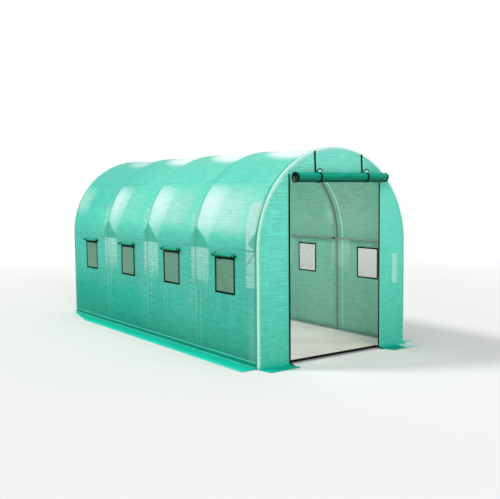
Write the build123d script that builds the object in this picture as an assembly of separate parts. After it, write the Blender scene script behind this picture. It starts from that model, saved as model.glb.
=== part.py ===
# Walk-in polytunnel: five steel hoops on ground rails, under a woven sheet with netted windows,
# a rolled-up door, ground flaps and a laid floor.
# Millimetres, +Z up. The origin is on the ground at the middle of the plan, and the door faces -Y.
from build123d import *
from math import cos, radians, sin, sqrt
import os

# Overall form
tunnel_length = 4080.0
tunnel_width = 1880.0
tunnel_height = 2000.0
bay_count = 4

# Steel tubes
hoop_tube = 25.0
rail_tube = 20.0
brace_tube = 16.0
tube_wall = 1.2
side_rail_drop = 10.0
clamp_wall = 3.2
clamp_length = 40.0

# Sheet
sheet = 2.5
sleeve_wall = 3.0
sleeve_slack = 0.5
roof_sag = 14.0
seat_gap = 0.3

# Doorway
door_width = 1150.0
gable_height = 300.0
trim_width = 12.0
trim_thickness = 5.2
door_roll_diameter = 95.0
door_roll_wall = 12.0
door_roll_length = 1145.0
door_roll_offset = 30.0
door_roll_rise = 10.0
tie_width = 20.0
tie_thickness = 2.0
tie_places = (-262.0, 330.0)
tie_drop_from_arch = 4.0
toggle_diameter = 16.0
toggle_length = 30.0
toggle_lean = 20.0
toggle_eye_width = 8.0

# Windows
window_width = 330.0
window_height = 345.0
window_head_drop = 85.0
binding_width = 16.0
binding_thickness = 3.0
net_thickness = 1.5
net_lap = 5.0
flap_roll_diameter = 28.0
flap_roll_length = 390.0
window_tie_width = 12.0
window_tie_thickness = 1.5
window_tie_inset = 38.0
window_tie_rise = 20.0

# Ground flaps, threshold and floor
flap_depth = 160.0
flap_front_cut = 28.0
flap_back_flare = 120.0
wall_band_height = 62.0
front_left_tip_overlap = 33.0
front_left_tip_reach = 5.0
front_right_tip_overhang = 21.0
front_right_tip_cut = 57.0
back_flap_cut = 33.0
floor_thickness = 6.0
threshold_height = 31.0
threshold_skirt = 14.0
threshold_overhang = 3.0

# Reach of a cut that goes right through a sheet
cut_reach = 200.0

# Sizes that follow from the ones above
arch_radius = tunnel_width / 2
spring_height = tunnel_height - arch_radius
side_rail_height = spring_height - side_rail_drop
door_height = tunnel_height - gable_height
door_roll_height = door_height + door_roll_rise
window_top = spring_height - window_head_drop
window_sill = window_top - window_height
window_middle = window_sill + window_height / 2
hoop_r = hoop_tube / 2
rail_r = rail_tube / 2
brace_r = brace_tube / 2
sleeve_bore_r = hoop_r + sleeve_slack
sleeve_r = sleeve_bore_r + sleeve_wall
hoop_line = arch_radius - sleeve_r
end_hoop_y = tunnel_length / 2 - sleeve_r
hoop_spacing = 2 * end_hoop_y / bay_count
hoop_places = [-end_hoop_y + i * hoop_spacing for i in range(bay_count + 1)]
sheet_inner = hoop_line + hoop_r + seat_gap
sheet_outer = sheet_inner + sheet
rail_line = hoop_line - sleeve_r - seat_gap - rail_r
clamp_bore_r = rail_r + seat_gap
clamp_r = clamp_bore_r + clamp_wall

# The sheets stop where they meet the round sleeve at the end hoops.
sleeve_reach = sqrt(sleeve_r**2 - (hoop_r + seat_gap) ** 2) + seat_gap
sheet_end_y = end_hoop_y - sleeve_reach
panel_radius = hoop_line - sleeve_reach
panel_inner_y = end_hoop_y + hoop_r + seat_gap
panel_outer_y = panel_inner_y + sheet
panel_foot = sheet + seat_gap

arch_axis = Axis((0, 0, spring_height), (0, -1, 0))


def box_between(low, high):
    """A box from its lowest to its highest corner."""
    size = [b - a for a, b in zip(low, high)]
    middle = [(a + b) / 2 for a, b in zip(low, high)]
    return Pos(*middle) * Box(*size)


def rod_between(start, end, radius):
    """A round rod between two points."""
    run = Vector(*end) - Vector(*start)
    plane = Plane(origin=start, z_dir=run)
    return extrude(plane * Circle(radius), amount=run.length)


def tube_between(start, end, outer_radius):
    """A round tube between two points."""
    bore = rod_between(start, end, outer_radius - tube_wall)
    return rod_between(start, end, outer_radius) - bore


def plate(outline, low, thickness):
    """A flat plate on the ground plane from the corners of its outline."""
    face = Pos(0, 0, low) * make_face(Polyline(*outline, close=True))
    return extrude(face, amount=thickness, dir=(0, 0, 1))


def bent_bar(line_radius, y, bar_radius, foot):
    """A round bar with two straight legs and a half-circle over them."""
    ring = Plane(origin=(line_radius, y, spring_height), z_dir=(0, 0, 1)) * Circle(bar_radius)
    arch = revolve(ring, axis=arch_axis, revolution_arc=180)
    legs = [
        rod_between((x, y, foot), (x, y, spring_height), bar_radius)
        for x in (-line_radius, line_radius)
    ]
    return arch + legs[0] + legs[1]


def bent_tube(line_radius, y, outer_radius, foot):
    """A round tube bent to a hoop."""
    bore = bent_bar(line_radius, y, outer_radius - tube_wall, foot)
    return bent_bar(line_radius, y, outer_radius, foot) - bore


def strip_profile(marks, outer):
    """The sheet's section along the tunnel, as a face in (y, radius): it dips between the marks."""
    edges = []
    bays = list(zip(marks, marks[1:]))
    for start, end in bays:
        middle = (start + end) / 2
        edges.append(ThreePointArc((start, outer), (middle, outer - roof_sag), (end, outer)))
    inner = outer - sheet
    edges.append(Line((marks[-1], outer), (marks[-1], inner)))
    for start, end in reversed(bays):
        middle = (start + end) / 2
        edges.append(ThreePointArc((end, inner), (middle, inner - roof_sag), (start, inner)))
    edges.append(Line((marks[0], inner), (marks[0], outer)))
    return make_face(edges)


def dip_at(offset, chord):
    """How far the sheet lies under the hoops at this distance from the middle of a bay."""
    bow = chord**2 / (8 * roof_sag) + roof_sag / 2
    return roof_sag - bow + sqrt(bow**2 - offset**2)


def half_width_at(height, radius):
    """Half the width of a round bar that lies on the ground, at this height above the ground."""
    return sqrt(radius**2 - (radius - height) ** 2)


def lying_on_side(height):
    """The plane at this height whose x runs along the tunnel and whose y runs to the right."""
    return Plane(origin=(0, 0, height), x_dir=(0, 1, 0), z_dir=(0, 0, -1))


def gable_outline(radius, foot):
    """The end of the tunnel as a face in (x, z): straight sides under a half-circle."""
    left, right = (-radius, spring_height), (radius, spring_height)
    edges = [
        Line((-radius, foot), (radius, foot)),
        Line((radius, foot), right),
        ThreePointArc(right, (0, spring_height + radius), left),
        Line(left, (-radius, foot)),
    ]
    return make_face(edges)


def end_sheet(inner_y):
    """A whole end sheet, with its face nearest the middle of the tunnel at this y."""
    facing = 1 if inner_y > 0 else -1
    plane = Plane(origin=(0, inner_y, 0), x_dir=(1, 0, 0), z_dir=(0, -1, 0))
    return extrude(plane * gable_outline(panel_radius, panel_foot), amount=sheet, dir=(0, facing, 0))


def mirrored(shape):
    """The same piece on the other side of the tunnel."""
    return mirror(shape, about=Plane.YZ)


parts = {}

# Hoops and the sleeves that the end hoops run through
for number, y in enumerate(hoop_places, start=1):
    parts[f"hoop_{number}"] = bent_tube(hoop_line, y, hoop_r, 0)
for name, y in (("front_sleeve", -end_hoop_y), ("back_sleeve", end_hoop_y)):
    skin = bent_bar(hoop_line, y, sleeve_r, panel_foot)
    parts[name] = skin - bent_bar(hoop_line, y, sleeve_bore_r, 0)

# Rails along the tunnel, held inside the hoops by ring clamps
rail_end_y = panel_inner_y - seat_gap
ridge_height = spring_height + rail_line
rails = {
    "ridge": (0, ridge_height),
    "left_side": (-rail_line, side_rail_height),
    "right_side": (rail_line, side_rail_height),
}
hoops_to_clear = [bent_bar(hoop_line, y, hoop_r + seat_gap, 0) for y in hoop_places[1:-1]]
sleeves_to_clear = [
    bent_bar(hoop_line, y, sleeve_r + seat_gap, 0) for y in (-end_hoop_y, end_hoop_y)
]
clamps = {}
for name, (x, z) in rails.items():
    parts[f"{name}_rail"] = tube_between((x, -rail_end_y, z), (x, rail_end_y, z), rail_r)
    clamps[name] = []
    for y in hoop_places:
        low = max(y - clamp_length / 2, -rail_end_y)
        high = min(y + clamp_length / 2, rail_end_y)
        ring = rod_between((x, low, z), (x, high, z), clamp_r)
        ring -= rod_between((x, low, z), (x, high, z), clamp_bore_r)
        for bar in hoops_to_clear + sleeves_to_clear:
            ring -= bar
        clamps[name].append(ring.solids().sort_by(SortBy.VOLUME)[-1])
parts["ridge_clamps"] = Compound(children=clamps["ridge"])
parts["side_clamps"] = Compound(children=clamps["left_side"] + clamps["right_side"])

# Rails on the ground: one down each side, and one across each end
cross_inner_y = end_hoop_y - hoop_r - seat_gap
cross_end_x = hoop_line - sleeve_r - seat_gap
for name, side in (("left_ground_rail", -1), ("right_ground_rail", 1)):
    x = side * rail_line
    parts[name] = tube_between((x, -cross_inner_y, rail_r), (x, cross_inner_y, rail_r), rail_r)
for name, y in (("front_ground_rail", -end_hoop_y), ("back_ground_rail", end_hoop_y)):
    parts[name] = tube_between((-cross_end_x, y, hoop_r), (cross_end_x, y, hoop_r), hoop_r)

# A diagonal brace in each end bay, from the end hoop's shoulder to the foot of the next hoop: on the
# left wall at the front, on the right wall at the back
brace_line = hoop_line - hoop_r - seat_gap - brace_r
shoulder = (end_hoop_y, side_rail_height)
foot = (end_hoop_y - hoop_spacing, rail_tube + brace_r)
shoulder_clamp_reach = end_hoop_y - clamp_length / 2
braces = []
for facing in (-1, 1):
    brace = tube_between(
        (brace_line, facing * shoulder[0], shoulder[1]),
        (brace_line, facing * foot[0], foot[1]),
        brace_r,
    )
    rail_to_clear = rod_between(
        (rail_line, facing * shoulder_clamp_reach, side_rail_height),
        (rail_line, facing * (end_hoop_y + sleeve_r), side_rail_height),
        clamp_r + seat_gap,
    )
    brace -= rail_to_clear
    brace -= rod_between(
        (rail_line, -rail_end_y, side_rail_height),
        (rail_line, rail_end_y, side_rail_height),
        rail_r + seat_gap,
    )
    brace -= sleeves_to_clear[0 if facing < 0 else 1]
    brace = brace.solids().sort_by(SortBy.VOLUME)[-1]
    braces.append(mirrored(brace) if facing < 0 else brace)
parts["diagonal_braces"] = Compound(children=braces)

# Roof sheet, one piece to each bay
sheet_marks = [-sheet_end_y] + hoop_places[1:-1] + [sheet_end_y]
for number, (start, end) in enumerate(zip(sheet_marks, sheet_marks[1:]), start=1):
    section = lying_on_side(spring_height) * strip_profile([start, end], sheet_outer)
    parts[f"roof_bay_{number}"] = revolve(section, axis=arch_axis, revolution_arc=180)

# Side walls with their window holes
window_places = [(a + b) / 2 for a, b in zip(sheet_marks, sheet_marks[1:])]
bay_chord = min(b - a for a, b in zip(sheet_marks, sheet_marks[1:]))
hole_width = window_width - 2 * binding_width + 2 * net_lap
hole_height = window_height - 2 * binding_width + 2 * net_lap
wall = extrude(
    lying_on_side(0) * strip_profile(sheet_marks, sheet_outer),
    amount=spring_height,
    dir=(0, 0, 1),
)
for y in window_places:
    wall -= Pos(arch_radius, y, window_middle) * Box(cut_reach, hole_width, hole_height)
parts["right_wall"] = wall
parts["left_wall"] = mirrored(wall)

# Windows: a flat binding on the wall, a net behind it, and the rolled-up flap above
binding_seat = sheet_outer - dip_at(window_width / 2, bay_chord) + seat_gap
roll_seat = sheet_outer - dip_at(flap_roll_length / 2, bay_chord) + seat_gap
roll_r = flap_roll_diameter / 2
window_loop_bore_r = roll_r + seat_gap
window_loop_r = window_loop_bore_r + window_tie_thickness
roll_x = roll_seat + window_loop_r
roll_z = window_top + seat_gap + window_loop_r
bindings, nets, rolls, window_ties = [], [], [], []
for y in window_places:
    frame = box_between(
        (binding_seat, y - window_width / 2, window_sill),
        (binding_seat + binding_thickness, y + window_width / 2, window_top),
    )
    frame -= Pos(binding_seat, y, window_middle) * Box(
        cut_reach, window_width - 2 * binding_width, window_height - 2 * binding_width
    )
    bindings.append(frame)
    net_half_width = hole_width / 2 - seat_gap
    net_half_height = hole_height / 2 - seat_gap
    nets.append(
        box_between(
            (binding_seat - seat_gap - net_thickness, y - net_half_width, window_middle - net_half_height),
            (binding_seat - seat_gap, y + net_half_width, window_middle + net_half_height),
        )
    )
    rolls.append(
        rod_between(
            (roll_x, y - flap_roll_length / 2, roll_z),
            (roll_x, y + flap_roll_length / 2, roll_z),
            roll_r,
        )
    )
    for end in (-1, 1):
        tie_y = y + end * (flap_roll_length / 2 - window_tie_inset)
        low, high = tie_y - window_tie_width / 2, tie_y + window_tie_width / 2
        tie = rod_between((roll_x, low, roll_z), (roll_x, high, roll_z), window_loop_r)
        tie += box_between(
            (roll_seat, low, roll_z),
            (roll_seat + window_tie_thickness, high, roll_z + window_loop_r + window_tie_rise),
        )
        tie -= rod_between((roll_x, low, roll_z), (roll_x, high, roll_z), window_loop_bore_r)
        window_ties += [tie, mirrored(tie)]
for name, pieces in (("bindings", bindings), ("nets", nets), ("flap_rolls", rolls)):
    parts[f"right_window_{name}"] = Compound(children=pieces)
    parts[f"left_window_{name}"] = mirrored(parts[f"right_window_{name}"])
parts["window_ties"] = Compound(children=window_ties)

# End sheets: the back is whole, and the front is split beside and over the doorway
parts["back_panel"] = end_sheet(panel_inner_y)
front = end_sheet(-panel_inner_y)
half_door = door_width / 2
keep_left = box_between((-tunnel_width, -tunnel_length, 0), (-half_door, 0, 2 * tunnel_height))
keep_over = box_between(
    (-half_door, -tunnel_length, door_height), (half_door, 0, 2 * tunnel_height)
)
parts["front_left_panel"] = front & keep_left
parts["front_right_panel"] = mirrored(parts["front_left_panel"])
parts["front_gable_panel"] = front & keep_over

# Dark binding down both sides of the doorway
door_trims = [
    box_between(
        (half_door - trim_width, -panel_inner_y - trim_thickness, panel_foot),
        (half_door - seat_gap, -panel_inner_y, door_height),
    )
]
door_trims.append(mirrored(door_trims[0]))
parts["door_trims"] = Compound(children=door_trims)

# Rolled-up door with its two ties. A tie is a strap down from the arch that ends in a loop round
# the roll, with a toggle in an eye on top of the loop.
loop_bore_r = door_roll_diameter / 2 + seat_gap
loop_r = loop_bore_r + tie_thickness
tie_back_y = -panel_outer_y - seat_gap
tie_front_y = tie_back_y - tie_thickness
roll_y = tie_back_y - loop_r
roll_start = (door_roll_offset - door_roll_length / 2, roll_y, door_roll_height)
roll_end = (door_roll_offset + door_roll_length / 2, roll_y, door_roll_height)
door_roll = rod_between(roll_start, roll_end, door_roll_diameter / 2)
door_roll -= rod_between(roll_start, roll_end, door_roll_diameter / 2 - door_roll_wall)
parts["door_roll"] = door_roll
toggle_r = toggle_diameter / 2
eye_bore_r = toggle_r + seat_gap
toggle_out = loop_r + seat_gap + eye_bore_r
toggle_y = roll_y - toggle_out * sin(radians(toggle_lean))
toggle_z = door_roll_height + toggle_out * cos(radians(toggle_lean))
ties, toggles = [], []
for x in tie_places:
    low, high = x - tie_width / 2, x + tie_width / 2
    reach = max(abs(low), abs(high))
    top = spring_height + sqrt(panel_radius**2 - reach**2) - tie_drop_from_arch
    eye_start = (x - toggle_eye_width / 2, toggle_y, toggle_z)
    eye_end = (x + toggle_eye_width / 2, toggle_y, toggle_z)
    loop_start, loop_end = (low, roll_y, door_roll_height), (high, roll_y, door_roll_height)
    eye = rod_between(eye_start, eye_end, eye_bore_r + tie_thickness)
    tie = box_between((low, tie_front_y, door_roll_height), (high, tie_back_y, top))
    tie += rod_between(loop_start, loop_end, loop_r)
    tie += eye - rod_between(eye_start, eye_end, eye_bore_r)
    ties.append(tie - rod_between(loop_start, loop_end, loop_bore_r))
    toggles.append(
        rod_between(
            (x - toggle_length / 2, toggle_y, toggle_z), (x + toggle_length / 2, toggle_y, toggle_z), toggle_r
        )
    )
parts["door_ties"] = Compound(children=ties)
parts["door_toggles"] = Compound(children=toggles)

# Ground flaps. The side ones carry a band up the foot of the wall.
flap_line = sheet_outer + seat_gap
side_flap = plate(
    [
        (flap_line, -sheet_end_y),
        (arch_radius + flap_depth, -sheet_end_y + flap_front_cut),
        (arch_radius + flap_depth, sheet_end_y + flap_back_flare),
        (flap_line, sheet_end_y),
    ],
    0,
    sheet,
)
side_flap += box_between(
    (flap_line, -sheet_end_y, 0), (flap_line + sheet, sheet_end_y, wall_band_height)
)
parts["right_ground_flap"] = side_flap
parts["left_ground_flap"] = mirrored(side_flap)
flap_edge_y = tunnel_length / 2 + flap_depth
corner_x = hoop_line + hoop_r
for name, side, outer_x, inner_x in (
    (
        "front_left_flap",
        -1,
        arch_radius - front_left_tip_overlap,
        half_door - front_left_tip_reach,
    ),
    (
        "front_right_flap",
        1,
        arch_radius + front_right_tip_overhang,
        half_door + front_right_tip_cut,
    ),
):
    outline = [
        (side * corner_x, -panel_inner_y),
        (side * outer_x, -flap_edge_y),
        (side * inner_x, -flap_edge_y),
        (side * half_door, -panel_inner_y),
    ]
    parts[name] = plate(outline, 0, sheet)
back_flap_x = arch_radius - back_flap_cut
parts["back_flap"] = plate(
    [
        (-corner_x, panel_inner_y),
        (-back_flap_x, flap_edge_y),
        (back_flap_x, flap_edge_y),
        (corner_x, panel_inner_y),
    ],
    0,
    sheet,
)

# Floor between the ground rails, and the dark saddle over the rail in the doorway
floor_x = rail_line - half_width_at(floor_thickness, rail_r) - seat_gap
floor_y = end_hoop_y - half_width_at(floor_thickness, hoop_r) - seat_gap
parts["floor"] = box_between((-floor_x, -floor_y, 0), (floor_x, floor_y, floor_thickness))
saddle_x = half_door - trim_width - seat_gap
saddle = box_between(
    (-saddle_x, -end_hoop_y - hoop_r - threshold_overhang, threshold_skirt),
    (saddle_x, -end_hoop_y + hoop_r + threshold_overhang, threshold_height),
)
saddle -= rod_between(
    (-cross_end_x, -end_hoop_y, hoop_r), (cross_end_x, -end_hoop_y, hoop_r), hoop_r + seat_gap
)
parts["threshold"] = saddle

os.makedirs("parts", exist_ok=True)
for name, shape in parts.items():
    export_step(shape, f"parts/{name}.step")
print(len(parts), "nodes, overall", Compound(children=list(parts.values())).bounding_box().size)
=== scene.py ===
from functools import reduce
from math import ceil, cos, pi, radians, sin, sqrt

import bmesh
import bpy
import numpy as np
from mathutils import Matrix, Vector, noise


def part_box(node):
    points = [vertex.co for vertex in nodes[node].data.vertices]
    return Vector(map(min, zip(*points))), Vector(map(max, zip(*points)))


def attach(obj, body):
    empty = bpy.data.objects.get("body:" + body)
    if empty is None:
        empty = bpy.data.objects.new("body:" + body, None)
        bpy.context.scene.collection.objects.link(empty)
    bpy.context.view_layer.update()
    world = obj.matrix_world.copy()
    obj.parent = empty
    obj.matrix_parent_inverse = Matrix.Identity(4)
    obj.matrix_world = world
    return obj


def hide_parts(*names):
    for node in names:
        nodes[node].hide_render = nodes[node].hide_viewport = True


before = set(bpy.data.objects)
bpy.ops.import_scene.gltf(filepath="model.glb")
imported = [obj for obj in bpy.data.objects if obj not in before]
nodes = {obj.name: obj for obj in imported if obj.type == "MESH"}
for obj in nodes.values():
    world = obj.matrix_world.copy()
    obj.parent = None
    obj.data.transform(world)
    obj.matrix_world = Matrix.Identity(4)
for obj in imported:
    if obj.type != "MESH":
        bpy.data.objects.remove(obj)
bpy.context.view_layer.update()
words = {-1: "left", 1: "right"}


def middle_and_half(name):
    """The middle of a node's box, and half its size, along each axis."""
    ends = list(zip(*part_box(name)))
    return [(high + low) / 2 for low, high in ends], [(high - low) / 2 for low, high in ends]


# Camera: where it stands, and which way its lens points
camera_place = (-4.8095, -7.3521, 1.6016)
camera_yaw = 35.575
camera_dip = 4.544
camera_tilt = -0.521
camera_lens = 54.07
sensor_width = 36.0

# Places and sizes that the frame gives
hoop_names = [f"hoop_{n}" for n in range(1, 6)]
hoop_low, hoop_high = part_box("hoop_5")
hoop_line = hoop_high.x - (hoop_high.y - hoop_low.y) / 2
spring = hoop_high.z - hoop_high.x
hoop_places = [sum(c.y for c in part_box(name)) / 2 for name in hoop_names]
hoop_pitch = hoop_places[1] - hoop_places[0]
cover_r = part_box("roof_bay_1")[1].x
cover_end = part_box("left_wall")[1].y
bay_ends = [-cover_end] + hoop_places[1:-1] + [cover_end]
window_places = [(a + b) / 2 for a, b in zip(bay_ends, bay_ends[1:])]
sleeve_low, sleeve_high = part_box("front_sleeve")
sleeve_r = (sleeve_high.y - sleeve_low.y) / 2
binding_low, binding_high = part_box("left_window_bindings")
window_half = binding_high.y - window_places[-1]
window_sill, window_top = binding_low.z, binding_high.z
window_z = (window_top + window_sill) / 2
net_face = -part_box("left_window_nets")[1].x
panel_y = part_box("front_gable_panel")[0].y
door_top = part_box("front_gable_panel")[0].z
door_half = -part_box("front_left_panel")[1].x
back_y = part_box("back_panel")[1].y
flap_reach = panel_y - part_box("front_left_flap")[0].y
skirt_low, skirt_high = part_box("left_ground_flap")
skirt_edge = -skirt_low.x
skirt_reach = skirt_edge - cover_r

# The cover: how it hangs, how its cloth is laid out, and the windows' holes
sheet_thickness = 0.0014
sag = 0.014
foot_sag = 0.004
foot_fade = 0.45
slack = 0.0022
broad_folds = (2.6, 2.1, 3.7)
narrow_folds = (7.5, 1.4, 9.2)
grid_step = 0.03
crease = 0.003
sheet_lap = 0.002
window_lap = 0.005
binding_width = 0.016
hole_half = window_half - binding_width + window_lap
spring_v = pi / 2 * cover_r
foot_v = spring_v + spring - sheet_lap

# The end sheets, and the flap at the foot of each
panel_r = 0.917
panel_grid = 0.03
panel_columns = 14
panel_slack = 0.0025
slack_fade = 0.1
weld_reach = 0.0004
touch = 1e-6
cloth_top = 2.0
foot_bend = 0.036
bend_steps = 6
flap_low = 0.0022
flap_lift = 0.004
hem_width = 0.02
hem_rise = 0.0012
tuck = 0.006
flap_root = hoop_high.x
flap_tip = 0.907
front_tips = {-1: (-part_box("front_left_flap")[1].x, flap_tip), 1: (0.632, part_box("front_right_flap")[1].x)}
end_length = cloth_top + flap_reach - 0.4 * foot_bend

# Sleeves round the end arches, and the binding down the edges of the doorway
sleeve_sides = 20
sleeve_step = 0.02
sleeve_inset = 0.0004
trim_width = 0.016
trim_thickness = 0.0052
trim_lap = 0.002
trim_proud = 0.0002
trim_raised = 0.0004
trim_tail = 0.03
trim_rise = 0.04

# Ground flaps along the walls: the band up the wall, as (distance from the wall, height), and the bend
skirt_grid = 0.04
skirt_out = 0.0040
skirt_floor = 0.0018
skirt_bend = 0.010
skirt_band = [(0.0034, skirt_high.z), (0.0042, 0.047), (0.0038, 0.044), (skirt_out, 0.022)]

# Window bindings and nets, and the blinds: the flaps rolled up over the windows
binding_tape = 0.019
tape_half = binding_tape / 2
tape_soft = 0.0012
tape_steps = 12
tape_profile = [
    (-tape_half, 0.0004),
    (-tape_half + tape_soft, 0.0032),
    (0.0, 0.0038),
    (tape_half - tape_soft, 0.0032),
    (tape_half, 0.0004),
    (tape_half, -0.0004),
    (0.1 * tape_half, -0.0022),
    (0.1 * tape_half, -0.0046),
    (-tape_half, -0.0046),
]
net_pitch = 0.0032
net_thread = 0.0009
net_gap = 0.0006
net_inset = 0.0004
(blinds_x, _, blind_z), (_, _, blind_r) = middle_and_half("left_window_flap_rolls")
blind_x = -blinds_x
blind_length = 2 * (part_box("left_window_flap_rolls")[1].y - window_places[-1])
blind_turns = 7
blind_core = 0.0035
blind_inset = 0.0008
blind_thickness = 0.0006
tie_place = 0.157
tie_spread = 0.012
tie_slack = 0.0004
tie_width = 0.012
tie_thickness = 0.0014
tie_rise = 0.008
tie_inset = 0.0008
tie_tilt = 0.0012
tie_start = 0.004

# The rolled-up door, its ties and toggles
(roll_x, roll_y, roll_z), (roll_half, _, roll_r) = middle_and_half("door_roll")
roll_length = 2 * roll_half
roll_wall = 0.021
roll_drop = 0.007
roll_turn = 2 * pi * (roll_r - roll_wall / 2)
roll_turns = 7.5
roll_flare = 0.09
flare_spread = 0.02
roll_tie_spread = 0.03
roll_inset = 0.0012
roll_thickness = 0.0008
strap_width = 0.02
strap_thickness = 0.002
strap_lean = 0.005
strap_gap = 0.0003
strap_proud = 0.0006
strap_bow = 0.006
strap_start = 0.006
strap_drop = 0.004
strap_top_r = 0.914
loop_r = roll_r + 0.0014
loop_lean = 0.004
cord_r = 0.0044
cord_gap = 0.004
cord_rise = 1.35
(_, toggle_y, toggle_z), (_, _, toggle_r) = middle_and_half("door_toggles")
toggle_low, toggle_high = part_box("door_toggles")
toggle_length = 0.03
toggle_stretch = 1.35
toggle_waist = 0.16
toggle_rings = 15
toggle_sides = 16
strap_places = (toggle_low.x + toggle_length / 2, toggle_high.x - toggle_length / 2)


def rgb(red, green, blue):
    """A colour as eyes see it, 0 to 255, as the light values that a shader takes."""
    shares = [c / 255 for c in (red, green, blue)]
    return tuple([c / 12.92 if c < 0.04045 else ((c + 0.055) / 1.055) ** 2.4 for c in shares] + [1.0])


# Camera
camera_data = bpy.data.cameras.new("camera")
camera_data.sensor_width = sensor_width
camera_data.lens = camera_lens
camera = bpy.data.objects.new("camera", camera_data)
bpy.context.scene.collection.objects.link(camera)
camera.matrix_world = (
    Matrix.Translation(camera_place)
    @ Matrix.Rotation(-radians(camera_yaw), 4, "Z")
    @ Matrix.Rotation(pi / 2 - radians(camera_dip), 4, "X")
    @ Matrix.Rotation(radians(camera_tilt), 4, "Z")
)
bpy.context.scene.camera = camera
bpy.context.scene.view_settings.view_transform = "Standard"

# Woven thread: layers of tone as (turns a metre, detail, share)
thread_pitch = 0.0036
thread_relief = 0.0003
weave_layers = (
    ((5.0, 84.0, 1.0), 2.0, 2.1),
    ((7.0, 190.0, 1.0), 1.0, 1.7),
    ((1.6, 17.0, 1.0), 3.0, 0.4),
    ((70.0, 6.0, 1.0), 3.0, 1.1),
    ((26.0, 20.0, 1.0), 3.0, 0.7),
    ((1.7, 1.3, 1.0), 1.0, 0.5),
)
white_light = (1.0, 1.0, 1.0, 1.0)


class Look:
    """A material being put together. Most calls add one node and give its output."""

    def __init__(self, name, tree=None):
        if tree is None:
            self.material = bpy.data.materials.new(name)
            self.material.use_nodes = True
            tree = self.material.node_tree
        self.nodes = tree.nodes
        self.links = tree.links
        self.nodes.clear()

    def node(self, kind, inputs=None, output=0, **settings):
        made = self.nodes.new("ShaderNode" + kind)
        for key, value in settings.items():
            setattr(made, key, value)
        for key, value in (inputs or {}).items():
            if isinstance(value, bpy.types.NodeSocket):
                self.links.new(value, made.inputs[key])
            else:
                made.inputs[key].default_value = value
        return made.outputs[output] if made.outputs else made

    def math(self, operation, *values):
        return self.node("Math", dict(enumerate(values)), operation=operation)

    def line(self, value, slope, start):
        """The value times a slope, plus a start."""
        return self.math("MULTIPLY_ADD", value, slope, start)

    def times(self, *masks):
        """The product of several masks."""
        return reduce(lambda a, b: self.math("MULTIPLY", a, b), masks)

    def either(self, *masks):
        """The strongest of several masks."""
        return reduce(lambda a, b: self.math("MAXIMUM", a, b), masks)

    def ramp(self, value, start, end, low=0.0, high=1.0):
        """A smooth step from low to high as the value goes from start to end."""
        inputs = {"Value": value, "From Min": start, "From Max": end, "To Min": low, "To Max": high}
        return self.node("MapRange", inputs, interpolation_type="SMOOTHSTEP")

    def stripe(self, value, middle, half, soft=0.004):
        """A mask for a narrow line of this value."""
        away = self.math("ABSOLUTE", self.math("SUBTRACT", value, middle))
        return self.ramp(away, half + soft / 2, half - soft / 2)

    def inside(self, w, v, corners):
        """A mask inside a shape. A corner is (w, v, how soft the edge is that starts there)."""
        edges = []
        for (w0, v0, blur), (w1, v1, _) in zip(corners, corners[1:] + corners[:1]):
            length = sqrt((w1 - w0) ** 2 + (v1 - v0) ** 2)
            along_w, along_v = (v1 - v0) / length, -(w1 - w0) / length
            depth = self.line(w, along_w, self.line(v, along_v, -w0 * along_w - v0 * along_v))
            edges.append(self.ramp(depth, -blur / 2, blur / 2))
        return self.times(*edges)

    def noise(self, vector, stretch, detail=2.0, rough=0.5):
        """Noise with so many turns a metre along each axis."""
        stretched = self.node("VectorMath", {0: vector, 1: stretch}, operation="MULTIPLY")
        inputs = {"Vector": stretched, "Scale": 1.0, "Detail": detail, "Roughness": rough}
        return self.node("TexNoise", inputs)

    def grain(self, turns, detail=2.0, rough=0.5):
        """Noise over the object, with the same turns a metre every way."""
        return self.noise(self.place(), [turns] * 3, detail, rough)

    def mix(self, share, first, second, blend="MIX"):
        inputs = {0: share, 6: first, 7: second}
        return self.node("Mix", inputs, output=2, data_type="RGBA", blend_type=blend)

    def paint(self, colour, *masks):
        """Lays a colour over the look's own colour, where the masks are."""
        self.colour = self.mix(self.times(*masks), self.colour, colour)

    def toned(self, colour, tone):
        """A colour made lighter or darker by a tone about 1."""
        grey = self.node("CombineColor", {0: tone, 1: tone, 2: tone})
        return self.mix(1.0, colour, grey, "MULTIPLY")

    def split(self, vector):
        made = self.nodes.new("ShaderNodeSeparateXYZ")
        self.links.new(vector, made.inputs[0])
        return made.outputs[0], made.outputs[1], made.outputs[2]

    def place(self):
        """The place on the object, in metres."""
        return self.node("TexCoord", output=3)

    def bump(self, height, distance, strength):
        return self.node("Bump", {"Height": height, "Distance": distance, "Strength": strength})

    def skin(self, colour, rough, height, distance, strength, shine=0.5, metal=0.0):
        bump = self.bump(height, distance, strength)
        inputs = {"Base Color": colour, "Roughness": rough, "Normal": bump}
        inputs.update({"Specular IOR Level": shine, "Metallic": metal})
        return self.node("BsdfPrincipled", inputs)

    def mix_shader(self, share, first, second):
        return self.node("MixShader", {0: share, 1: first, 2: second})

    def done(self, shader):
        self.node("OutputMaterial", {"Surface": shader})
        return self.material


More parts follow.
